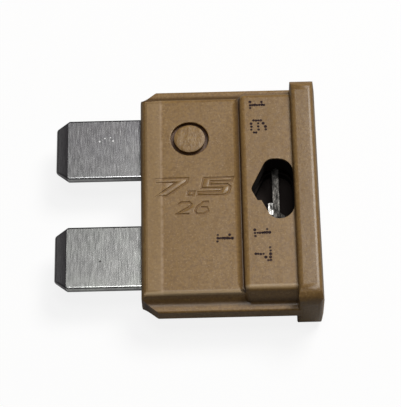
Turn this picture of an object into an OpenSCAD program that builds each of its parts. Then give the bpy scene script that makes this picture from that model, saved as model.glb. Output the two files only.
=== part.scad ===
// A plug-in blade fuse of the standard size, lying on its back.
// X runs from the blade tips to the head, Y across the two blades and Z through the thickness.
// The origin is under the middle of the fuse, on the plane that its head rests on.

/* [Head] */
// Width of the head, across both blades
head_w = 19.1; // [18.3:0.1:21]
// Thickness of the head
head_t = 5.1; // [4.6:0.1:6.2]
// Length of the head, from the middle panels to its top
head_l = 1.95; // [1.6:0.05:3]
// Rounding of the four edges that close the head's two ends
head_end_r = 1.3; // [0.5:0.1:2]
// Rounding of the two long edges of the head's top
head_top_r = 0.45; // [0.2:0.05:0.8]
// Rounding of the corners between the head's top and its two ends
head_corner_r = 0.7; // [0.3:0.1:1]
// How far the middle of the head's top stands up over its two long edges
head_crown = 0.2; // [0.1:0.05:0.4]
// Rounding of the head's edges next to the middle panels
head_step_r = 0.4; // [0.1:0.05:0.5]

/* [Panels] */
// Length of the housing, from its blade end to the head
body_l = 11.6; // [11:0.1:14]
// Thickness over the two lower panels
lower_t = 2.82; // [2.5:0.02:3.4]
// Width of the lower panels at their faces
lower_w = 16.8; // [15.8:0.1:17.2]
// Thickness over the two middle panels
middle_t = 3.95; // [3.6:0.05:4.4]
// Width of the middle panels at their faces
middle_w = 16.9; // [15.8:0.1:17.2]
// Length of the middle panels, from their step to the head
middle_l = 4.0; // [3.6:0.1:4.8]
// How far each side wall of a lower panel leans out down to the rim
lower_lean = 0.2; // [0.05:0.05:0.5]
// How far each side wall of a middle panel leans out down to the rim
middle_lean = 0.4; // [0.1:0.05:0.6]
// Rounding of the lower panels' edges and corners
lower_edge_r = 0.4; // [0.1:0.05:0.5]
// Rounding of the middle panels' edges and corners
middle_edge_r = 0.5; // [0.2:0.05:0.55]
// Steepest slope of the step up to the middle panels, in degrees
step_slope = 60; // [45:5:70]
// Radius of the cove between the rims and the lower panels' side walls
lower_cove_r = 0.65; // [0.2:0.05:0.7]
// Radius of the cove between the rims and the middle panels' side walls
middle_cove_r = 0.4; // [0.2:0.05:0.45]

/* [Nose] */
// Length of the taper at the blade end
nose_l = 1.6; // [1:0.1:2.2]
// How far each face drops over the taper
nose_drop = 0.1; // [0.05:0.05:0.4]
// Rounding of the lower panels' edges at their blade end
nose_edge_r = 0.75; // [0.2:0.05:0.9]

/* [Side rims] */
// Width over the two side rims
rim_w = 19; // [18.1:0.1:19.5]
// Thickness of the side rims
rim_t = 1.2; // [1.0:0.1:2.2]
// Rounding of the rims' edges
rim_edge_r = 0.2; // [0.1:0.05:0.4]
// Length of the cut corner at each rim's blade end
rim_cut_l = 1.3; // [0.6:0.1:1.6]
// Depth of that cut corner
rim_cut_w = 1.05; // [0.4:0.05:1.2]

/* [Blades] */
// Exposed length of the blades
blade_l = 6.55; // [5.5:0.05:8]
// Width of each blade
blade_w = 5.2; // [4.8:0.1:5.6]
// Distance over the outer edges of both blades
blade_span = 14.5; // [14.2:0.1:15]
// Thickness of the metal
blade_t = 0.65; // [0.5:0.05:0.8]
// Length of the coined bevel at each tip
tip_bevel_l = 0.9; // [0.5:0.1:1.4]
// Thickness of the metal at the tip's end
tip_t = 0.34; // [0.2:0.02:0.5]
// Length of each cut corner at the tip
tip_cut_l = 1.0; // [0.5:0.05:1.2]
// Width of each cut corner at the tip
tip_cut_w = 0.7; // [0.4:0.05:1.2]

/* [Fuse link] */
// Width of the thin strip that melts
link_w = 0.5; // [0.3:0.05:0.8]
// Distance from the head's top to the middle of the strip
link_depth = 3.27; // [2.9:0.01:3.5]
// Distance from the head's top to the end of the metal
metal_depth = 1.55; // [1.2:0.05:2]
// Distance from the step of the middle panels to the necks, where the wide shanks end
neck_start = 0.1; // [0:0.05:0.4]
// Gap between the two necks, across which the strip runs
neck_gap = 6.0; // [5.4:0.1:7]
// How far the strip's foot reaches into that gap from the lower neck
foot_reach = 1.75; // [1:0.05:2.2]
// Width of the foot
foot_w = 1.35; // [1:0.05:1.8]
// How far the lug beside the strip reaches on past the foot
lug_reach = 0.85; // [0.3:0.05:1.2]
// Width of that lug
lug_w = 0.36; // [0.2:0.02:0.45]
// Rounding of the inner corners of the stamping
stamp_r = 0.3; // [0.1:0.05:0.5]
// Rounding of the lug's end
lug_r = 0.12; // [0.05:0.01:0.15]

/* [Window] */
// Length of the window, from its point to its straight side by the head
window_l = 3.2; // [2.8:0.1:3.4]
// Length of the window's slanted sides along the fuse
window_slant_l = 1.25; // [1:0.05:1.5]
// Width of the window
window_w = 5.15; // [4.6:0.05:5.3]
// Rounding of the two corners by the head
window_corner_r = 1.15; // [0.8:0.05:1.2]
// Rounding of the two corners where the slanted sides end
window_shoulder_r = 0.85; // [0.4:0.05:1]
// Rounding of the point towards the blades
window_point_r = 0.5; // [0.3:0.05:0.7]
// Depth of the chamber behind the metal
chamber_depth = 0.8; // [0.4:0.1:0.9]
// How far the small ledge stands into the window, on its slanted side towards the lower blade
ledge_w = 0.3; // [0.1:0.05:0.4]
// Distance of the ledge's corner from the window's middle line
ledge_y = 1.0; // [0.8:0.05:1.2]
// Rounding of the ledge's corners
ledge_r = 0.1; // [0.05:0.01:0.12]

/* [Stakes] */
// Distance from the housing's blade end to the stakes
stake_x = 3.78; // [3:0.01:5]
// How far the stakes lie outside the middle of their blades
stake_shift = 0.14; // [0:0.02:0.4]
// Diameter of the ring that the punch left
ring_d = 2.92; // [2.5:0.02:3.2]
// Diameter of the raised disc inside the ring
disc_d = 2.36; // [1.8:0.02:2.4]
// Depth of the ring
ring_depth = 0.36; // [0.2:0.02:0.6]
// How far the disc's crown stands up over the panel
crown_h = 0.1; // [0.05:0.01:0.2]
// Width of the slope round the crown
crown_slope_w = 0.25; // [0.1:0.05:0.4]
// Diameter of the hole through the blade
stake_hole_d = 2.0; // [1.4:0.1:2.4]

/* [Test openings] */
// Size of each test opening in the head's top, along the head
test_w = 2.2; // [1.2:0.1:3]
// Size of each test opening through the head's thickness
test_t = 1.1; // [0.9:0.1:1.6]

/* [Clearances] */
// Gap on each side of the metal in its slot
slot_gap = 0.08; // [0.03:0.01:0.15]
// Gap round each stake in its hole
stake_gap = 0.08; // [0.03:0.01:0.15]
// Gap between the metal's end and the end of its slot
slot_end_gap = 0.15; // [0.05:0.05:0.25]

/* [Hidden] */

arc_step_angle = 15;
step_bands = 3;
round_fn = 48;
ball_fn = 24;
over = 1;

body_x = -(body_l + head_l - blade_l) / 2;
mid_z = head_t / 2;
top_x = body_l + head_l;
step_x = body_l - middle_l;
lower_end_x = step_x + middle_edge_r;
blade_y = (blade_span - blade_w) / 2;
blade_in_y = blade_span / 2 - blade_w;
neck_in_y = neck_gap / 2;
neck_x = step_x + neck_start;
metal_end_x = top_x - metal_depth;
link_x = top_x - link_depth;
slot_t = blade_t + 2 * slot_gap;
slot_w = blade_span + 2 * slot_gap;
slot_end_x = metal_end_x + slot_end_gap;
stake_y = blade_y + stake_shift;
peg_d = stake_hole_d - 2 * stake_gap;
window_x = body_l - window_l;
window_floor_z = blade_t / 2 + chamber_depth;

housing_colour = [0.58, 0.49, 0.38];
metal_colour = [0.62, 0.63, 0.62];

// The point at distance d from b on the way to a
function toward(b, a, d) = b + d * (a - b) / norm(a - b);

// The angle inside the corner at b
function corner_angle(a, b, c) = acos((a - b) * (c - b) / norm(a - b) / norm(c - b));

// The arc that rounds the corner at b with radius r, as points of a curve tangent to both sides
function corner_arc(a, b, c, r) =
    let (
        half = corner_angle(a, b, c) / 2,
        start = toward(b, a, r / tan(half)),
        end = toward(b, c, r / tan(half)),
        centre = toward(b, (start + end) / 2, r / sin(half)),
        from = atan2(start[1] - centre[1], start[0] - centre[0]),
        sweep = (atan2(end[1] - centre[1], end[0] - centre[0]) - from + 540) % 360 - 180,
        steps = max(2, ceil(abs(sweep) / arc_step_angle))
    )
    [for (i = [0:steps]) centre + r * [cos(from + sweep * i / steps), sin(from + sweep * i / steps)]];

// An outline of corners [x, y, radius] with its corners rounded
function rounded(corners) = [
    for (i = [0:len(corners) - 1])
        let (
            last = len(corners) - 1,
            before = corners[i == 0 ? last : i - 1],
            here = corners[i],
            after = corners[i == last ? 0 : i + 1],
            at = [here[0], here[1]]
        )
        each here[2] > 0
            ? corner_arc([before[0], before[1]], at, [after[0], after[1]], here[2])
            : [at]
];

// The corners [x, y, radius] of one quarter of an outline, repeated in all four quarters
function four_fold(quarter) = [
    each quarter,
    each [for (i = [len(quarter) - 1:-1:0]) [-quarter[i][0], quarter[i][1], quarter[i][2]]],
    each [for (corner = quarter) [-corner[0], -corner[1], corner[2]]],
    each [for (i = [len(quarter) - 1:-1:0]) [quarter[i][0], -quarter[i][1], quarter[i][2]]]
];

// Where a side wall that runs straight to its foot leaves the edge rounding of its panel
function wall_top(face_w, face_z, r, foot) =
    let (
        centre = [face_w / 2 - r, face_z - r],
        down = foot - centre,
        turn = atan2(down[1], down[0]) + acos(r / norm(down))
    )
    centre + r * [cos(turn), sin(turn)];

// Extrudes a section drawn in Y and Z along X
module along_x(x_from, x_to) {
    translate([x_from, 0, 0])
        rotate([90, 0, 90])
            linear_extrude(x_to - x_from)
                children();
}

// Extrudes a side profile drawn in X and Z across the given width
module along_y(width) {
    translate([0, width / 2, 0])
        rotate([90, 0, 0])
            linear_extrude(width)
                children();
}

// Extrudes a plan drawn in X and Y through the given thickness
module along_z(thickness) {
    translate([0, 0, -thickness / 2])
        linear_extrude(thickness)
            children();
}

// A ball whose poles and sides lie exactly at its radius
module ball(r) {
    rotate_extrude($fn = ball_fn)
        polygon([for (turn = [-90:arc_step_angle:90]) r * [cos(turn), sin(turn)]]);
}

// The four balls that round a pair of panels at x, two at the front face and two at the back
module edge_balls(x, face_w, face_z, r) {
    for (side = [-1, 1], face = [-1, 1])
        translate([x, side * (face_w / 2 - r), face * (face_z - r)])
            ball(r);
}

// The foot of a pair of panels on the rims, with rounded corners towards the blades
module panel_foot(x_from, x_to, foot_w, r) {
    along_z(rim_t)
        polygon(rounded([
            [x_from, -foot_w / 2, r],
            [x_to, -foot_w / 2, 0],
            [x_to, foot_w / 2, 0],
            [x_from, foot_w / 2, r]
        ]));
}

// Everything behind the rounded edges of the blade end, up to where the middle panels are at full height
module nose_trim() {
    nose_z = lower_t / 2 - nose_drop;
    end_z = nose_z + nose_drop * lower_end_x / nose_l;
    along_y(head_w)
        polygon(rounded([
            [0, -nose_z, nose_edge_r],
            [lower_end_x, -end_z, 0],
            [lower_end_x, end_z, 0],
            [0, nose_z, nose_edge_r]
        ]));
}

// Both lower panels, tapered towards the blades and run on into the middle panels
module lower_panels() {
    face_z = lower_t / 2;
    intersection() {
        hull() {
            edge_balls(lower_edge_r, lower_w, face_z - nose_drop, lower_edge_r);
            edge_balls(nose_l, lower_w, face_z, lower_edge_r);
            edge_balls(lower_end_x, lower_w, face_z, lower_edge_r);
            panel_foot(0, lower_end_x, lower_w + 2 * lower_lean, lower_edge_r);
        }
        nose_trim();
    }
}

// Block under one line of the concave slope that leads up to the middle panels
module step_slab(turn) {
    rounding_x = step_x + middle_edge_r * (1 - sin(step_slope));
    rounding_z = middle_t / 2 - middle_edge_r * (1 - cos(step_slope));
    slope_r = (rounding_z - lower_t / 2) / (1 - cos(step_slope));
    from_x = rounding_x - slope_r * (sin(step_slope) - sin(turn));
    corner_r = lower_end_x - from_x;
    along_z(lower_t + 2 * slope_r * (1 - cos(turn)))
        polygon(rounded([
            [from_x, -middle_w / 2, corner_r],
            [body_l, -middle_w / 2, 0],
            [body_l, middle_w / 2, 0],
            [from_x, middle_w / 2, corner_r]
        ]));
}

// The concave slope in bands, each between two of its lines
module step_cove() {
    for (band = [1:step_bands])
        hull() {
            step_slab(step_slope * (band - 1) / step_bands);
            step_slab(step_slope * band / step_bands);
        }
}

// Both middle panels, run on into the head
module middle_panels() {
    face_z = middle_t / 2;
    hull() {
        edge_balls(lower_end_x, middle_w, face_z, middle_edge_r);
        edge_balls(body_l + head_l / 2, middle_w, face_z, middle_edge_r);
        panel_foot(step_x, body_l + head_step_r, middle_w + 2 * middle_lean, middle_edge_r);
    }
}

// Section of both rims, with a cove up to the side walls of a pair of panels
module rim_section(face_w, face_z, edge_r, lean, cove_r) {
    foot = [face_w / 2 + lean, rim_t / 2];
    top = wall_top(face_w, face_z, edge_r, foot);
    polygon(rounded(four_fold([
        [rim_w / 2, rim_t / 2, rim_edge_r],
        [foot[0], foot[1], cove_r],
        [top[0], top[1], 0],
        [top[0] - rim_t / 2, rim_t / 4, 0]
    ])));
}

module side_rims() {
    edge_y = rim_w / 2;
    intersection() {
        union() {
            intersection() {
                along_x(0, lower_end_x)
                    rim_section(lower_w, lower_t / 2, lower_edge_r, lower_lean, lower_cove_r);
                nose_trim();
            }
            along_x(lower_end_x, body_l + head_step_r)
                rim_section(middle_w, middle_t / 2, middle_edge_r, middle_lean, middle_cove_r);
        }
        along_z(head_t)
            polygon(rounded([
                [0, -edge_y + rim_cut_w, rim_edge_r],
                [rim_cut_l, -edge_y, rim_edge_r],
                [body_l + head_step_r, -edge_y, 0],
                [body_l + head_step_r, edge_y, 0],
                [rim_cut_l, edge_y, rim_edge_r],
                [0, edge_y - rim_cut_w, rim_edge_r]
            ]));
    }
}

module head() {
    end_y = head_w / 2;
    face_z = head_t / 2;
    crown_flat_z = head_t / 6;
    intersection() {
        along_x(body_l, top_x)
            polygon(rounded([
                [-end_y, -face_z, head_end_r],
                [end_y, -face_z, head_end_r],
                [end_y, face_z, head_end_r],
                [-end_y, face_z, head_end_r]
            ]));
        along_y(head_w)
            polygon(rounded([
                [body_l, -face_z, head_step_r],
                [top_x - head_crown, -face_z, head_top_r],
                [top_x, -crown_flat_z, head_t / 2],
                [top_x, crown_flat_z, head_t / 2],
                [top_x - head_crown, face_z, head_top_r],
                [body_l, face_z, head_step_r]
            ]));
        along_z(head_t)
            polygon(rounded([
                [body_l, -end_y, head_step_r],
                [top_x, -end_y, head_corner_r],
                [top_x, end_y, head_corner_r],
                [body_l, end_y, head_step_r]
            ]));
    }
}

// The window's outline, pointed towards the blades and straight by the head
module window_outline() {
    side_y = window_w / 2;
    slant = atan2(side_y, window_slant_l);
    point_x = window_x - window_point_r * (1 / sin(slant) - 1);
    shoulder_x = point_x + window_slant_l;
    ledge_x = point_x + ledge_y / tan(slant);
    polygon(rounded([
        [point_x, 0, window_point_r],
        [ledge_x, -ledge_y, ledge_r],
        [ledge_x + ledge_w, -ledge_y, ledge_r],
        [shoulder_x + ledge_w, -side_y, window_shoulder_r],
        [body_l, -side_y, window_corner_r],
        [body_l, side_y, window_corner_r],
        [shoulder_x, side_y, window_shoulder_r]
    ]));
}

module window() {
    translate([0, 0, -window_floor_z])
        linear_extrude(window_floor_z + head_t / 2 + over)
            window_outline();
}

// Where the metal slides in from the blade end
module element_slot() {
    translate([-over, -slot_w / 2, -slot_t / 2])
        cube([slot_end_x + over, slot_w, slot_t]);
}

// The small opening in the head's top through which a probe reaches one shank
module test_opening(side) {
    translate([slot_end_x - over, side * blade_y - test_w / 2, -test_t / 2])
        cube([top_x - slot_end_x + 2 * over, test_w, test_t]);
}

// The ring that the staking punch left in a lower panel
module punch_ring() {
    translate([stake_x, 0, lower_t / 2 - ring_depth])
        difference() {
            cylinder(d = ring_d, h = ring_depth + over, $fn = round_fn);
            cylinder(d = disc_d, h = ring_depth + over, $fn = round_fn);
        }
}

// The low crowned disc inside the ring
module punched_disc() {
    translate([stake_x, 0, lower_t / 2])
        rotate_extrude($fn = round_fn)
            polygon([
                [0, -ring_depth],
                [disc_d / 2, -ring_depth],
                [disc_d / 2, 0],
                [disc_d / 2 - crown_slope_w, crown_h],
                [0, crown_h]
            ]);
}

// The peg of plastic that fills the hole in one blade
module stake_peg(side) {
    translate([stake_x, side * stake_y, -slot_t / 2 - slot_gap])
        cylinder(d = peg_d, h = slot_t + 2 * slot_gap, $fn = round_fn);
}

module housing() {
    color(housing_colour)
        translate([body_x, 0, mid_z]) {
            difference() {
                union() {
                    side_rims();
                    lower_panels();
                    step_cove();
                    middle_panels();
                    head();
                }
                element_slot();
                window();
                translate([0, stake_y, 0]) punch_ring();
                translate([0, -stake_y, 0]) rotate([180, 0, 0]) punch_ring();
                test_opening(1);
                test_opening(-1);
            }
            translate([0, stake_y, 0]) punched_disc();
            translate([0, -stake_y, 0]) rotate([180, 0, 0]) punched_disc();
            stake_peg(1);
            stake_peg(-1);
        }
}

// One blade, its shank and its neck, from the tip to the end inside the housing
module blade_plan() {
    outer_y = blade_span / 2;
    difference() {
        polygon(rounded([
            [-blade_l, blade_in_y + tip_cut_w, 0],
            [-blade_l + tip_cut_l, blade_in_y, 0],
            [neck_x, blade_in_y, stamp_r],
            [neck_x, neck_in_y, stamp_r],
            [metal_end_x, neck_in_y, 0],
            [metal_end_x, outer_y, 0],
            [-blade_l + tip_cut_l, outer_y, 0],
            [-blade_l, outer_y - tip_cut_w, 0]
        ]));
        translate([stake_x, stake_y])
            circle(d = stake_hole_d, $fn = round_fn);
    }
}

// The thin strip that joins the two necks
module link_plan() {
    translate([link_x - link_w / 2, -neck_in_y - stamp_r])
        square([link_w, 2 * (neck_in_y + stamp_r)]);
}

// The strip's wider foot on the lower neck, with a lug that runs up beside the strip
module foot_plan() {
    foot_y = -neck_in_y + foot_reach;
    lug_x = link_x - link_w / 2 - lug_w;
    polygon(rounded([
        [link_x - foot_w / 2, -neck_in_y - stamp_r, 0],
        [link_x + foot_w / 2, -neck_in_y - stamp_r, 0],
        [link_x + foot_w / 2, foot_y - stamp_r, stamp_r],
        [link_x + link_w / 2, foot_y, 0],
        [link_x, foot_y + lug_reach, 0],
        [lug_x, foot_y + lug_reach, lug_r],
        [lug_x, foot_y, lug_r],
        [link_x - foot_w / 2, foot_y - stamp_r, lug_r]
    ]));
}

// The profile of the metal from the side, thinned to a bevel at the tips
module metal_profile() {
    polygon([
        [-blade_l, -tip_t / 2],
        [-blade_l + tip_bevel_l, -blade_t / 2],
        [metal_end_x, -blade_t / 2],
        [metal_end_x, blade_t / 2],
        [-blade_l + tip_bevel_l, blade_t / 2],
        [-blade_l, tip_t / 2]
    ]);
}

module fuse_element() {
    color(metal_colour)
        translate([body_x, 0, mid_z])
            intersection() {
                along_z(blade_t) {
                    blade_plan();
                    mirror([0, 1]) blade_plan();
                    link_plan();
                    foot_plan();
                }
                along_y(head_w) metal_profile();
            }
}

housing();
fuse_element();
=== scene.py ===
"""Looks of a plug-in automotive blade fuse: tan moulded housing, grained zinc blades, ink digits.

The script works in metres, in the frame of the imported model: X from the blade tips to the head,
Y across the blades, Z out of the front face, and the origin under the middle of the fuse. Places
on the fuse are given in millimetres, along from the housing's blade end, across from the middle
line and up from the metal's middle plane.
"""

from math import cos, radians, sin
from random import Random

import bmesh
import bpy
from mathutils import Matrix, Vector


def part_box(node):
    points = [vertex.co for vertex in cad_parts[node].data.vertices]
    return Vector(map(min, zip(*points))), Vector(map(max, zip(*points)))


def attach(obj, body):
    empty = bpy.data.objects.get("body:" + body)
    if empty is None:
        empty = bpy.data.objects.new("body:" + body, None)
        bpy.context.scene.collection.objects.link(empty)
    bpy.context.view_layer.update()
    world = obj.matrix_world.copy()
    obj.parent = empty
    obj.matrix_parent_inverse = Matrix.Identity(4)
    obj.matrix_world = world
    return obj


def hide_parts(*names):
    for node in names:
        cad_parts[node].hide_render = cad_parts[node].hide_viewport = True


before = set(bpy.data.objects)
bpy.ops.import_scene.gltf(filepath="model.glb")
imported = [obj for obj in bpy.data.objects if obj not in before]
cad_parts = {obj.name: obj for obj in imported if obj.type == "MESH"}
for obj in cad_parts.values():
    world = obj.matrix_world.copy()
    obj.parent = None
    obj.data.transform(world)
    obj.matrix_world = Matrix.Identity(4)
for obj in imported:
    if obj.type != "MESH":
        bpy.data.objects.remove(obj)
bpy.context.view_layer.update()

MM = 0.001

LOW, HIGH = (Vector(corner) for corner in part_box("housing"))
BLADE_END_X = LOW.x
MIDDLE_Z = (LOW.z + HIGH.z) / 2

# Along the fuse: the blades' tips and where their coining ends, where the housing's taper and the
# link start, the slope of the step, and the head
TIP = (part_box("fuse_element")[0][0] - BLADE_END_X) / MM
TIP_BEVEL_END = TIP + 0.9
CREASE = 1.6
STEP = 7.6
LINK_START = STEP
STEP_TOP = 8.1
HEAD_FOOT = 11.6
HEAD_TOP = (HIGH.x - BLADE_END_X) / MM

# Across it: the panels' rounded edges, the foot of their side walls, and each blade's sides
LOWER_EDGE = 8.24
MIDDLE_EDGE = 8.12
LOWER_COVE = 8.72
MIDDLE_COVE = 8.85
FAR_SIDES = (7.25, -2.05)
NEAR_SIDES = (2.05, -7.25)

# Up from the middle plane
LOWER_FACE = 1.41
MIDDLE_FACE = 1.975

# How far the coined tips turn away from the blades
TIP_TURN = radians(9.77)

# The stakes, and opposite corners of the lug beside the link, the pressed number and the window
STAKE = (3.78, 4.79)
DISC_R = 1.18
RING_R = 1.46
LUG = ((9.5, -1.4, 0.0), (10.03, -0.3, 1.0))
NUMBER = ((CREASE, -1.9, 0.0), (7.2, 1.6, LOWER_FACE))
WINDOW = ((8.1, -2.8, -1.3), (11.75, 2.8, 1.8))


def point(along, across, up):
    """A place on the fuse as a point in the frame."""
    return Vector((BLADE_END_X + along * MM, across * MM, MIDDLE_Z + up * MM))


def srgb(red, green, blue):
    """A colour given as 8-bit screen values, as linear light."""
    def linear(value):
        value /= 255
        return value / 12.92 if value <= 0.04045 else ((value + 0.055) / 1.055) ** 2.4
    return (linear(red), linear(green), linear(blue), 1.0)


def grey(level):
    return (level, level, level, 1.0)


# Shader maths

class Value:
    """A shader socket that can stand in a sum, a product or a comparison."""

    def __init__(self, nodes, socket):
        self.nodes = nodes
        self.socket = socket

    def math(self, operation, other=0.0, clamp=False):
        return self.nodes.node("Math", {"operation": operation, "use_clamp": clamp}, {0: self, 1: other})

    def __add__(self, other):
        return self.math("ADD", other)

    __radd__ = __add__

    def __mul__(self, other):
        return self.math("MULTIPLY", other)

    __rmul__ = __mul__

    def __sub__(self, other):
        return self.math("SUBTRACT", other)

    def __rsub__(self, other):
        return (self * -1.0) + other

    def __gt__(self, other):
        return self.math("GREATER_THAN", other)

    def __lt__(self, other):
        return self.math("LESS_THAN", other)

    def clamped(self):
        return self.math("ADD", clamp=True)

    def magnitude(self):
        return self.math("ABSOLUTE")


class Nodes:
    """The shader nodes of a material or of the world."""

    def __init__(self, owner):
        owner.use_nodes = True
        self.tree = owner.node_tree
        self.tree.nodes.clear()

    def node(self, kind, settings, sockets, output=0):
        """Adds a node, makes its settings, fills its sockets and gives one of its outputs."""
        node = self.tree.nodes.new("ShaderNode" + kind)
        for name, value in settings.items():
            setattr(node, name, value)
        for name, value in sockets.items():
            if isinstance(value, Value):
                self.tree.links.new(value.socket, node.inputs[name])
            else:
                node.inputs[name].default_value = value
        return Value(self, node.outputs[output]) if len(node.outputs) else None

    def ray_kinds(self):
        """Whether a ray comes from the camera, from a gloss or through glass."""
        kinds = ("Camera", "Glossy", "Transmission")
        return [self.node("LightPath", {}, {}, f"Is {kind} Ray") for kind in kinds]

    def blend(self, factor, first, second):
        """A mix of two colours."""
        return self.node("Mix", {"data_type": "RGBA"}, {0: factor, 6: first, 7: second}, 2)


class Finish(Nodes):
    """A material under construction."""

    def __init__(self, name):
        self.material = bpy.data.materials.new(name)
        super().__init__(self.material)

    def coordinates(self, stretch=(1.0, 1.0, 1.0)):
        """Object coordinates in millimetres, times the stretch."""
        coordinates = self.node("TexCoord", {}, {}, "Object")
        scale = tuple(factor / MM for factor in stretch)
        return self.node("Mapping", {"vector_type": "POINT"}, {"Vector": coordinates, "Scale": scale})

    def places(self):
        """How far along, across and up the fuse a point is."""
        coordinates = self.coordinates()
        x, y, z = (self.node("SeparateXYZ", {}, {"Vector": coordinates}, axis) for axis in "XYZ")
        return x - BLADE_END_X / MM, y, z - MIDDLE_Z / MM

    def noise(self, scale, detail=2.0, roughness=0.5, stretch=(1.0, 1.0, 1.0)):
        """Noise whose lumps are about one millimetre over the scale."""
        return self.node("TexNoise", {}, {"Vector": self.coordinates(stretch), "Scale": scale,
                                          "Detail": detail, "Roughness": roughness}, "Fac")

    def ramp(self, value, low, high):
        """Zero at low and one at high, straight between them and level beyond them."""
        return self.node("MapRange", {"clamp": True}, {"Value": value, "From Min": low, "From Max": high})

    def near(self, distance, reach, core):
        """One within the core of a line, fading to zero at its reach on both sides."""
        return self.ramp(distance.magnitude(), reach, core)

    def relief(self, *layers):
        """Bumps one over another, each given as its height, its strength and its depth in mm."""
        below = {}
        for height, strength, depth in layers:
            sockets = {"Height": height, "Strength": strength, "Distance": depth * MM}
            below = {"Normal": self.node("Bump", {}, {**sockets, **below})}
        return below["Normal"]

    def ended(self, shader):
        """The material, ending in the given shader."""
        self.node("OutputMaterial", {}, {"Surface": shader})
        return self.material

    def surface(self, sockets):
        """The material, ending in a Principled surface with the given sockets."""
        return self.ended(self.node("BsdfPrincipled", {}, sockets))


def boxed(place, corners):
    """One between two opposite corners of a box, zero outside it."""
    mask = 1.0
    for value, start, end in zip(place, *corners):
        mask = mask * (value > start) * (value < end)
    return mask


def round_spot(along, across, middle, radius):
    """One within the radius of an upright line, zero further out."""
    along = along - middle[0]
    across = across - middle[1]
    return (along * along + across * across) < radius ** 2


def staked_round(place, radius):
    """One within the radius of a stake: in front on the upper blade's side, behind on the lower's."""
    along, across, up = place
    return round_spot(along, across.magnitude(), STAKE, radius) * (across * up > 0.0)


def stepped(lower, middle, share):
    """A measure that is the lower panels' at a share of 0 and the middle panels' at 1."""
    return lower + (middle - lower) * share


# Materials

def tan_plastic():
    """Satin tan moulding, torn on the staked discs, with painted shade inside the window."""
    finish = Finish("tan_plastic")
    place = finish.places()
    along, _, up = place
    blotches = finish.noise(0.22, detail=3.0)
    colour = speckled(finish, blotches)
    # The head is a shade darker
    colour = finish.blend((along > HEAD_FOOT) * 0.12, colour, srgb(70, 56, 40))
    # Painted light: a lightened taper and painted highlights on the crease and the near edges
    colour = painted_highlights(finish, place, colour)
    # Painted shade at the foot of the step and in the side walls' coves
    colour = painted_shade(finish, place, colour)

    # Painted shade: the inside of the window is coloured near black-brown
    inside = boxed(place, WINDOW)
    colour = finish.blend(inside, colour, srgb(30, 21, 17))
    # Painted shade: the pressed number's grooves are coloured a darker brown
    sunk = boxed(place, NUMBER) * finish.ramp(up, LOWER_FACE - 0.050, LOWER_FACE - 0.075)
    colour = finish.blend(sunk * 0.6, colour, srgb(104, 74, 40))

    disc = staked_round(place, DISC_R)
    # Painted shade: the groove ring around each staked disc is coloured dark brown
    ring = staked_round(place, RING_R) - disc
    colour = finish.blend(ring * 0.9, colour, srgb(72, 44, 25))
    torn = finish.noise(1.7, detail=4.0, roughness=0.6, stretch=(1.0, 0.6, 1.0))
    colour = finish.blend(disc * finish.ramp(torn, 0.58, 0.74) * 0.5, colour, srgb(190, 164, 126))

    waves = finish.noise(0.9)
    grain = finish.noise(14.0, roughness=0.6)
    relief = finish.relief((waves, 0.25, 0.10), (grain, 0.22, 0.03), (torn * disc, 0.4, 0.30))
    roughness = 0.26 + 0.12 * finish.ramp(grain, 0.3, 0.7) + 0.06 * blotches + 0.10 * disc + 0.5 * inside
    return finish.surface({"Base Color": colour, "Roughness": roughness, "Normal": relief,
                           "Specular IOR Level": 0.4})


def speckled(finish, blotches):
    """Tan with broad blotches, fine brown specks and finer pale ones."""
    colour = finish.blend(finish.ramp(blotches, 0.35, 0.65), srgb(132, 103, 60), srgb(138, 108, 63))
    specks = finish.noise(4.5, detail=3.0, roughness=0.7)
    colour = finish.blend(finish.ramp(specks, 0.36, 0.60), srgb(118, 90, 54), colour)
    pale = finish.ramp(finish.noise(7.0, detail=1.0, roughness=0.4), 0.62, 0.74)
    return finish.blend(pale * 0.35, colour, srgb(172, 145, 108))


def painted_highlights(finish, place, colour):
    """Painted light: the tapered end, which slopes away from the lamp, is lightened, and painted highlights
    run along the crease behind it and along the rounded near edges.
    """
    along, across, up = place
    height = up.magnitude()
    # Painted light: the taper is lightened
    taper = (along < CREASE) * (height > 1.25)
    colour = finish.blend(taper * 0.22, colour, srgb(182, 160, 130))

    # Painted highlight along the crease, in patches
    patchy = finish.ramp(finish.noise(1.6, detail=3.0), 0.30, 0.62)
    crease = finish.near(along - CREASE, 0.16, 0.02) * (height > 1.2) * patchy
    colour = finish.blend(crease * 0.6, colour, srgb(176, 150, 122))

    # Painted highlights along the rounded near edges
    raised = height > 1.5
    edge = finish.near(across + stepped(LOWER_EDGE, MIDDLE_EDGE, raised), 0.20, 0.04)
    edge = edge * (along < HEAD_FOOT) * (height > 1.15)
    return finish.blend(edge * stepped(0.50, 0.37, raised), colour, srgb(222, 196, 158))


def painted_shade(finish, place, colour):
    """Painted shade: darker at the foot of the step and in the coves at the foot of the side walls."""
    along, across, up = place
    height = up.magnitude()
    aside = across.magnitude()
    # Painted shade in the gutter at the foot of the step
    gutter = finish.ramp(along, STEP - 0.36, STEP + 0.02) * (along < STEP + 0.17)
    gutter = gutter * (height > 1.38) * (height < 1.80) * (aside < 8.4)
    colour = finish.blend(gutter * 0.85, colour, srgb(58, 38, 24))

    # Painted shade in the coves at the foot of the side walls
    raised = finish.ramp(along, STEP + 0.1, STEP_TOP)
    from_foot = aside - stepped(LOWER_COVE, MIDDLE_COVE, raised)
    cove = finish.ramp(from_foot, -0.26, -0.04) * finish.ramp(from_foot, 0.42, 0.10)
    cove = cove * (along < HEAD_FOOT) * (height < stepped(1.30, 1.80, raised))
    return finish.blend(cove * 0.72, colour, srgb(56, 38, 22))


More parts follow.
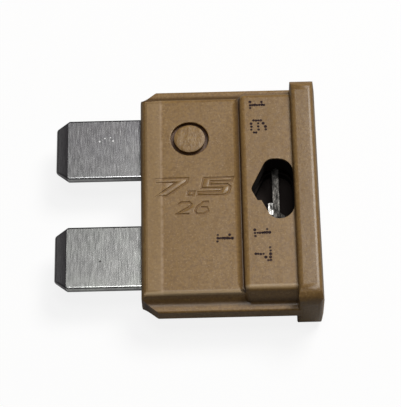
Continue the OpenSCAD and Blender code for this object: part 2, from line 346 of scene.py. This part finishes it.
def grained_zinc():
    """Rolled zinc alloy with fine grain across the blades, and a link darkened as painted shade."""
    finish = Finish("grained_zinc")
    place = finish.places()
    along, across, _ = place
    lines = finish.noise(1.0, detail=3.0, roughness=0.6, stretch=(8.0, 0.45, 1.0))
    hair = finish.noise(1.0, roughness=0.6, stretch=(18.0, 1.2, 1.0))
    stains = finish.noise(0.55, detail=3.0)
    # Painted light: the lower blade is coloured brighter than the upper one
    colour = finish.blend(finish.ramp(across, 7.0, -7.0), srgb(186, 184, 190), srgb(232, 235, 229))
    colour = finish.blend(finish.ramp(stains, 0.38, 0.62) * 0.5, colour, srgb(204, 202, 203))
    colour = finish.blend(finish.ramp(lines, 0.40, 0.70) * 0.6, colour, srgb(160, 161, 160))
    colour = finish.blend(finish.ramp(hair, 0.48, 0.70) * 0.5, colour, srgb(232, 233, 232))
    # Painted shade along the blades' rolled edges
    colour = shaded_edges(finish, place, colour)
    coined = along < TIP_BEVEL_END
    # Painted shade: the coined tips are coloured darker, darkest where the coining ends and paler towards
    # the blade's end
    tip = finish.blend(finish.ramp(along, TIP_BEVEL_END, TIP), srgb(120, 116, 120), srgb(172, 170, 172))
    colour = finish.blend(coined, colour, tip)

    # A cluster of bright pin points on the upper blade and a pit in the lower one
    cells = finish.node("TexVoronoi", {}, {"Vector": finish.coordinates(), "Scale": 2.6}, "Distance")
    pins = (cells < 0.17) * round_spot(along, across, (-2.8, 5.15), 0.80)
    colour = finish.blend(pins, colour, srgb(255, 255, 254))
    pit = round_spot(along, across, (-3.1, -5.0), 0.09)
    colour = finish.blend(pit * 0.8, colour, srgb(60, 58, 58))

    # Painted shade: the link and its foot are coloured dark in random blotches, with pale blotches on the
    # lug beside the link
    link = along > LINK_START
    blots = finish.noise(1.3, detail=3.0, stretch=(1.6, 1.0, 1.0))
    link_shade = finish.blend(finish.ramp(blots, 0.36, 0.70), srgb(20, 19, 18), srgb(80, 78, 75))
    link_shade = finish.blend(boxed(place, LUG) * finish.ramp(blots, 0.35, 0.60), link_shade, srgb(190, 189, 186))
    colour = finish.blend(link, colour, link_shade)

    relief = finish.relief((lines, 0.10, 0.03), (hair, 0.12, 0.01), (blots * link, 0.8, 0.12))
    roughness = 0.22 + 0.05 * finish.ramp(hair, 0.3, 0.7) + 0.16 * link + 0.04 * coined
    return finish.surface({"Base Color": colour, "Metallic": 1.0 - pins, "Roughness": roughness,
                           "Normal": relief})


def shaded_edges(finish, place, colour):
    """Painted shade: dark along each blade's far rolled edge and under its near one."""
    along, across, up = place
    bare = along < 0.0
    upper, lower = (finish.ramp(across, side - 0.18, side - 0.13) for side in FAR_SIDES)
    colour = finish.blend((upper + lower * (across < 0.0)) * bare, colour, srgb(60, 60, 62))
    upper, lower = (finish.near(across - side, 0.16, 0.12) for side in NEAR_SIDES)
    return finish.blend((upper + lower) * (up < -0.10) * bare, colour, srgb(70, 70, 72))


def jet_ink():
    """Dark brown-purple ink, thin enough for the plastic to show through in places."""
    finish = Finish("jet_ink")
    thin = finish.ramp(finish.noise(5.0), 0.45, 0.75)
    colour = finish.blend(thin, srgb(42, 31, 34), srgb(80, 62, 56))
    return finish.surface({"Base Color": colour, "Roughness": 0.7, "Specular IOR Level": 0.05})


# How bright the floor glows to the camera and in a mirror, and its grey to the camera and to light
FLOOR_GLOW = 0.86
FLOOR_GLOW_MIRRORED = 0.04
FLOOR_SEEN = grey(0.35)
FLOOR_LIT = grey(0.95)


def white_floor():
    """Plain pale floor that shows as white where no shadow falls."""
    finish = Finish("white_floor")
    seen, glossy, passing = finish.ray_kinds()
    white = finish.node("BsdfDiffuse", {}, {"Color": finish.blend(seen, FLOOR_SEEN, FLOOR_LIT)})
    glow = finish.node("Emission", {}, {"Color": grey(1.0), "Strength": 1.0})
    shown = (seen * FLOOR_GLOW + (glossy + passing) * FLOOR_GLOW_MIRRORED).clamped()
    return finish.ended(finish.node("MixShader", {}, {0: shown, 1: white, 2: glow}))


# Meshes

# Vertices closer than this are one; then the turns that count as flat and as square, and how well
# an edge's turn has to match a crease's
MERGE_DISTANCE = 0.0005 * MM
FLAT_TURN = radians(0.6)
SQUARE_TURN = radians(40)
TURN_SLACK = radians(2)


def finished(name, shape, material=None):
    """Turns a bmesh into an object at the origin."""
    mesh = bpy.data.meshes.new(name)
    shape.to_mesh(mesh)
    shape.free()
    if material is not None:
        mesh.materials.append(material)
    piece = bpy.data.objects.new(name, mesh)
    bpy.context.scene.collection.objects.link(piece)
    return piece


def merged_copy(node):
    """A bmesh of a CAD node with its loose triangles joined into plain faces."""
    copy = bmesh.new()
    copy.from_mesh(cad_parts[node].data)
    bmesh.ops.remove_doubles(copy, verts=copy.verts, dist=MERGE_DISTANCE)
    bmesh.ops.dissolve_limit(copy, angle_limit=FLAT_TURN, verts=copy.verts, edges=copy.edges)
    return copy


def break_edges(shape, width, segments, chosen):
    """Rounds those square outer edges whose ends are all among the chosen points."""
    edges = [edge for edge in shape.edges
             if edge.is_manifold and edge.is_convex and edge.calc_face_angle(0.0) > SQUARE_TURN
             and all(chosen(vertex.co) for vertex in edge.verts)]
    bmesh.ops.bevel(shape, geom=edges, offset=width, offset_type="OFFSET", segments=segments,
                    profile=0.5, affect="EDGES", clamp_overlap=True, material=-1)


def smooth(piece, sharp, creases=()):
    """Smooth shading that keeps flat faces flat, square edges crisp and any crease of the given turn."""
    shape = bmesh.new()
    shape.from_mesh(piece.data)
    for face in shape.faces:
        face.smooth = True
    for edge in shape.edges:
        turn = edge.calc_face_angle(0.0)
        edge.smooth = turn < sharp and not any(abs(turn - crease) < TURN_SLACK for crease in creases)
    shape.to_mesh(piece.data)
    shape.free()
    weighted = piece.modifiers.new("Flat faces", "WEIGHTED_NORMAL")
    weighted.mode = "FACE_AREA"
    weighted.weight = 100
    weighted.keep_sharp = True


# Pressed numbers

# Half of a groove's section: how far across the stroke and how high over the face, in mm
GROOVE_SECTION = ((0.140, 0.007), (0.085, -0.020), (0.040, -0.080))
# How much wider than its section a groove may get in a corner
CORNER_SPREAD = 1.6
# How far a slanted number leans per millimetre of height
SLANT = 0.25

# Strokes in mm, each with its points and whether it closes on itself
OUTLINED_7_5 = (
    (((0.0, 1.5), (2.4, 1.5), (2.4, 1.15), (1.15, 0.0), (0.35, 0.0), (1.55, 1.15), (0.0, 1.15)), True),
    (((2.7, 0.0), (3.15, 0.0), (3.15, 0.35), (2.7, 0.35)), True),
    (((3.6, 1.5), (5.8, 1.5), (5.8, 1.2), (4.2, 1.2), (4.2, 0.9), (5.55, 0.9), (5.8, 0.7), (5.8, 0.2),
      (5.55, 0.0), (3.45, 0.0), (3.45, 0.3), (5.2, 0.3), (5.2, 0.6), (3.6, 0.6)), True),
)
PLAIN_26 = (
    (((0.05, 0.78), (0.25, 1.0), (0.85, 1.0), (1.05, 0.82), (0.95, 0.58), (0.08, 0.02), (1.1, 0.0)), False),
    (((2.35, 1.0), (1.95, 1.0), (1.55, 0.6), (1.45, 0.25), (1.65, 0.0), (2.25, 0.0), (2.45, 0.25),
      (2.3, 0.52), (1.85, 0.55)), False),
)
PLAIN_7_5 = (
    (((0.0, 1.2), (0.8, 1.2), (0.3, 0.0)), False),
    (((1.05, 0.0), (1.2, 0.0)), False),
    (((2.25, 1.2), (1.6, 1.2), (1.52, 0.66), (1.95, 0.74), (2.25, 0.52), (2.2, 0.15), (1.9, 0.0),
      (1.5, 0.08)), False),
)

# The directions of a number's right, of its top and out of its face
ON_FRONT = ((1.0, 0.0, 0.0), (0.0, 1.0, 0.0), (0.0, 0.0, 1.0))
ON_HEAD_TOP = ((0.0, 1.0, 0.0), (0.0, 0.0, 1.0), (1.0, 0.0, 0.0))


def groove_ring(shape, spot, into, out, place):
    """Points of the groove's section where a stroke arrives in one direction and leaves in another."""
    aside = Vector((-out.y, out.x))
    square = (Vector((-into.y, into.x)) + aside).normalized()
    spread = 1.0 / max(square.dot(aside), 1.0 / CORNER_SPREAD)
    section = GROOVE_SECTION + tuple((-across, height) for across, height in reversed(GROOVE_SECTION))
    points = []
    for across, height in section:
        corner = spot + square * spread * across
        points.append(shape.verts.new(place @ (Vector((corner.x, corner.y, height)) * MM)))
    return points


def groove_block(strokes, slant, place):
    """A block that leaves a groove with sloping walls along each stroke, centred on its place."""
    shape = bmesh.new()
    corners = [corner for points, _ in strokes for corner in points]
    middle = Vector([(max(values) + min(values)) / 2 for values in zip(*corners)])
    for points, closed in strokes:
        path = [Vector(corner) - middle for corner in points]
        path = [Vector((corner.x + slant * corner.y, corner.y)) for corner in path]
        legs = [(after - before).normalized() for before, after in zip(path, path[1:] + path[:1])]
        rings = []
        for index, spot in enumerate(path):
            into = legs[index - 1] if closed or index > 0 else legs[0]
            out = legs[index] if closed or index < len(path) - 1 else into
            rings.append(groove_ring(shape, spot, into, out, place))
        spans = list(zip(rings, rings[1:]))
        if closed:
            spans.append((rings[-1], rings[0]))
        else:
            shape.faces.new(rings[0])
            shape.faces.new(rings[-1])
        for first, second in spans:
            for here in range(len(first)):
                shape.faces.new((first[here], first[here - 1], second[here - 1], second[here]))
    bmesh.ops.recalc_face_normals(shape, faces=shape.faces)
    return finished("groove_block", shape)


def cut_out(piece, block):
    """Cuts a block out of a piece and removes the block."""
    step = piece.modifiers.new("Block", "BOOLEAN")
    step.operation = "DIFFERENCE"
    step.solver = "EXACT"
    step.object = block
    made = bpy.data.meshes.new_from_object(piece.evaluated_get(bpy.context.evaluated_depsgraph_get()))
    piece.modifiers.remove(step)
    piece.data = made
    bpy.data.objects.remove(block)


def press(piece, strokes, slant, spot, facing):
    """Presses a number into a flat face."""
    turn = Matrix(facing).transposed().to_4x4()
    cut_out(piece, groove_block(strokes, slant, Matrix.Translation(spot) @ turn))


# Pieces

RING_EDGE_R = 0.07 * MM
BLADE_EDGE_R = 0.20 * MM
# How far inside the housing the blades' rolled edges go on
COVERED = 0.4


def housing_shell(material):
    """The moulded housing with the edge of its punch rings rounded and its numbers pressed in."""
    shape = merged_copy("housing")
    stake = point(*STAKE, 0.0).xy
    break_edges(shape, RING_EDGE_R, 3,
                lambda at: abs((Vector((at.x, abs(at.y))) - stake).length - RING_R * MM) < 0.02 * MM)
    piece = finished("housing_shell", shape, material)
    press(piece, OUTLINED_7_5, SLANT, point(3.92, 0.60, LOWER_FACE), ON_FRONT)
    press(piece, PLAIN_26, SLANT, point(3.95, -1.22, LOWER_FACE), ON_FRONT)
    press(piece, PLAIN_7_5, 0.0, point(HEAD_TOP, 0.0, 0.0), ON_HEAD_TOP)
    smooth(piece, sharp=radians(46))
    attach(piece, "root")
    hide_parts("housing")


def metal_stamping(material):
    """The stamping with its blades' edges rolled, as far as just inside the housing."""
    shape = merged_copy("fuse_element")
    covered = point(COVERED, 0.0, 0.0)
    bmesh.ops.bisect_plane(shape, geom=shape.verts[:] + shape.edges[:] + shape.faces[:],
                           dist=MERGE_DISTANCE, plane_co=covered, plane_no=(1.0, 0.0, 0.0))
    break_edges(shape, BLADE_EDGE_R, 5, lambda at: at.x < covered.x + 0.001 * MM)
    piece = finished("metal_stamping", shape, material)
    smooth(piece, sharp=radians(35), creases=(TIP_TURN,))
    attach(piece, "root")
    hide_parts("fuse_element")


DIGITS = {
    "1": ("00100", "01100", "00100", "00100", "00100", "00100", "01110"),
    "6": ("00110", "01000", "10000", "11110", "10001", "10001", "01110"),
    "7": ("11111", "00001", "00010", "00100", "00100", "00100", "00100"),
}
# Each printed digit and the place of its middle
PRINT = (("1", (9.05, 7.32, MIDDLE_FACE)), ("6", (9.1, 5.40, MIDDLE_FACE)), ("1", (9.1, -3.74, MIDDLE_FACE)),
         ("7", (9.12, -5.5, MIDDLE_FACE)), ("1", (6.3, -3.85, LOWER_FACE)))
# Spacing of the dots, their radius, how far each one strays, and how far they stand over the face
# and go into it
PRINT_ROW = 0.18
PRINT_COLUMN = 0.27
DOT_R = 0.112
DOT_DRIFT = 0.02
DOT_STANDS = 0.008
DOT_SUNK = 0.02


def ink_digits(material):
    """Jet-printed digits of small dots, lying on their side with their tops to the head."""
    shape = bmesh.new()
    chance = Random(4)
    for digit, (along, across, face) in PRINT:
        for row, cells in enumerate(DIGITS[digit]):
            for column, cell in enumerate(cells):
                if cell == "0":
                    continue
                dot_along = along + (3 - row) * PRINT_ROW + chance.uniform(-DOT_DRIFT, DOT_DRIFT)
                dot_across = across - (column - 2) * PRINT_COLUMN + chance.uniform(-DOT_DRIFT, DOT_DRIFT)
                radius = DOT_R * chance.uniform(0.8, 1.15) * MM
                spot = point(dot_along, dot_across, face + (DOT_STANDS - DOT_SUNK) / 2)
                bmesh.ops.create_cone(shape, cap_ends=True, segments=12, radius1=radius, radius2=radius,
                                      depth=(DOT_STANDS + DOT_SUNK) * MM, matrix=Matrix.Translation(spot))
    piece = finished("ink_digits", shape, material)
    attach(piece, "root")


# Camera, floor and lights

# The camera was fitted to the photo's outline; an azimuth of 0 looks along +Y
CAMERA_AZIMUTH = radians(0.7935)
CAMERA_ELEVATION = radians(62.27)
CAMERA_ROLL = radians(-2.053)
CAMERA_DISTANCE = 147.25 * MM
CAMERA_TARGET = point(4.519, -0.1245, 0.0)
FOCAL_PIXELS = 1928.0
IMAGE_HEIGHT = 407.0
SENSOR = 36.0

LAMP_DISTANCE = 0.45
# How bright the world is as a light and in a mirror, where the camera sees it as 1
WORLD_LIGHT = 0.03
WORLD_MIRRORED = 0.07


def photo_camera():
    """The camera at the photo's angle, turned about its own axis as the photo is."""
    camera = bpy.data.objects.new("camera", bpy.data.cameras.new("camera"))
    bpy.context.scene.collection.objects.link(camera)
    bpy.context.scene.camera = camera
    ahead = Vector((-sin(CAMERA_AZIMUTH) * cos(CAMERA_ELEVATION),
                    cos(CAMERA_AZIMUTH) * cos(CAMERA_ELEVATION), -sin(CAMERA_ELEVATION)))
    level = Vector((cos(CAMERA_AZIMUTH), sin(CAMERA_AZIMUTH), 0.0))
    upright = level.cross(ahead)
    right = level * cos(CAMERA_ROLL) + upright * sin(CAMERA_ROLL)
    up = upright * cos(CAMERA_ROLL) - level * sin(CAMERA_ROLL)
    turn = Matrix((right, up, -ahead)).transposed().to_4x4()
    camera.matrix_world = Matrix.Translation(CAMERA_TARGET - ahead * CAMERA_DISTANCE) @ turn
    camera.data.sensor_width = SENSOR
    camera.data.sensor_fit = "AUTO"
    camera.data.lens = SENSOR * FOCAL_PIXELS / IMAGE_HEIGHT
    camera.data.clip_start = 0.01
    camera.data.clip_end = 10.0


def floor(material):
    """A plain floor under the fuse."""
    shape = bmesh.new()
    bmesh.ops.create_grid(shape, x_segments=1, y_segments=1, size=1.0)
    piece = finished("floor", shape, material)


def softbox(name, elevation, azimuth, size, power, colour=(1.0, 1.0, 1.0)):
    """A soft square lamp aimed at the fuse; azimuth 90 is beyond the photo's top edge."""
    lamp = bpy.data.lights.new(name, "AREA")
    lamp.shape = "SQUARE"
    lamp.size = size
    lamp.energy = power
    lamp.color = colour
    holder = bpy.data.objects.new(name, lamp)
    bpy.context.scene.collection.objects.link(holder)
    rise = radians(elevation)
    angle = radians(azimuth)
    direction = Vector((cos(angle) * cos(rise), sin(angle) * cos(rise), sin(rise)))
    holder.location = Vector((0.0, 0.0, MIDDLE_Z)) + direction * LAMP_DISTANCE
    holder.rotation_euler = direction.to_track_quat("Z", "Y").to_euler()


def lights():
    """Window light, a panel overhead that the edges towards the camera mirror, and a dim white world."""
    softbox("window_light", elevation=53, azimuth=48, size=0.20, power=1.78, colour=(1.0, 0.985, 0.96))
    softbox("ceiling_panel", elevation=88, azimuth=70, size=0.16, power=0.48)
    world = bpy.data.worlds.new("world")
    bpy.context.scene.world = world
    nodes = Nodes(world)
    seen, glossy, passing = nodes.ray_kinds()
    strength = WORLD_LIGHT + seen * (1.0 - WORLD_LIGHT) + (glossy + passing) * (WORLD_MIRRORED - WORLD_LIGHT)
    background = nodes.node("Background", {}, {"Color": grey(1.0), "Strength": strength})
    nodes.node("OutputWorld", {}, {"Surface": background})


bpy.context.scene.view_settings.view_transform = "Standard"
photo_camera()
floor(white_floor())
lights()
housing_shell(tan_plastic())
metal_stamping(grained_zinc())
ink_digits(jet_ink())
